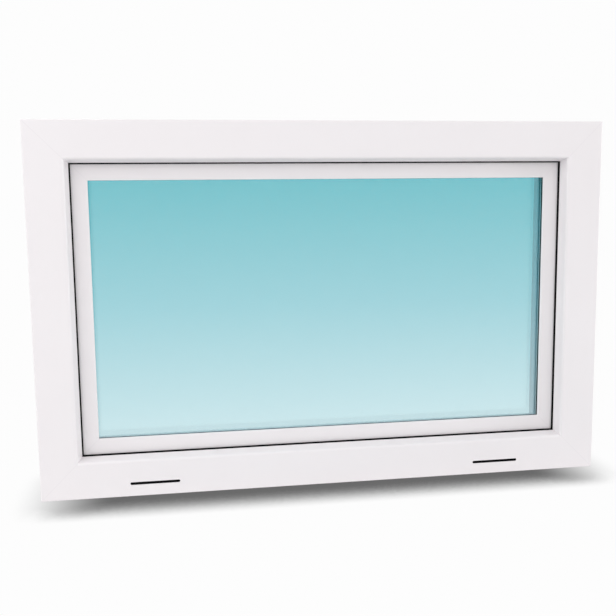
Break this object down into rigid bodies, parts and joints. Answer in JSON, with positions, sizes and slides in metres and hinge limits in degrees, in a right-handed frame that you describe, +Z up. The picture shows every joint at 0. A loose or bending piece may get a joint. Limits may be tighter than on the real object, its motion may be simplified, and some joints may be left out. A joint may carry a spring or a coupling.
{
  "type": "hopper window",
  "caption": "White plastic hopper window: mitred frame, double-glazed sash hinged at its foot to tilt inwards, black seals, weep slots in the sill and a lever handle inside.",
  "frame": {"origin": "middle of the frame's underside, halfway through the frame's depth", "axes": "+X along the window to the right as seen from outdoors, +Y into the room, +Z up"},
  "size_m": [0.8, 0.1264, 0.51],
  "materials": {
    "white_plastic": "satin",
    "black_rubber": "matt",
    "grey_rubber": "matt",
    "tinted_glass": "clear",
    "spacer_metal": "mill",
    "edge_sealant": "matt",
    "packer_plastic": "matt",
    "white_metal": "satin",
    "pin_steel": "bright"
  },
  "bodies": {
    "root": {"frame_sill": "white_plastic", "frame_head": "white_plastic", "frame_jamb_left": "white_plastic", "frame_jamb_right": "white_plastic", "frame_gasket": "black_rubber", "sash_bottom_rail": "white_plastic", "sash_top_rail": "white_plastic", "sash_stile_left": "white_plastic", "sash_stile_right": "white_plastic", "sash_gasket": "black_rubber", "outer_glazing_gasket": "black_rubber", "inner_glazing_gasket": "grey_rubber", "outer_pane": "tinted_glass", "inner_pane": "tinted_glass", "spacer_bar": "spacer_metal", "edge_seal": "edge_sealant", "glazing_packer_left": "packer_plastic", "glazing_packer_right": "packer_plastic", "bead_bottom": "white_plastic", "bead_top": "white_plastic", "bead_left": "white_plastic", "bead_right": "white_plastic", "handle_rose": "white_metal", "handle_lever": "white_metal", "hinge_left_frame_leaf": "white_metal", "hinge_left_sash_leaf": "white_metal", "hinge_left_pin": "pin_steel", "hinge_right_frame_leaf": "white_metal", "hinge_right_sash_leaf": "white_metal", "hinge_right_pin": "pin_steel"}
  },
  "joints": []
}
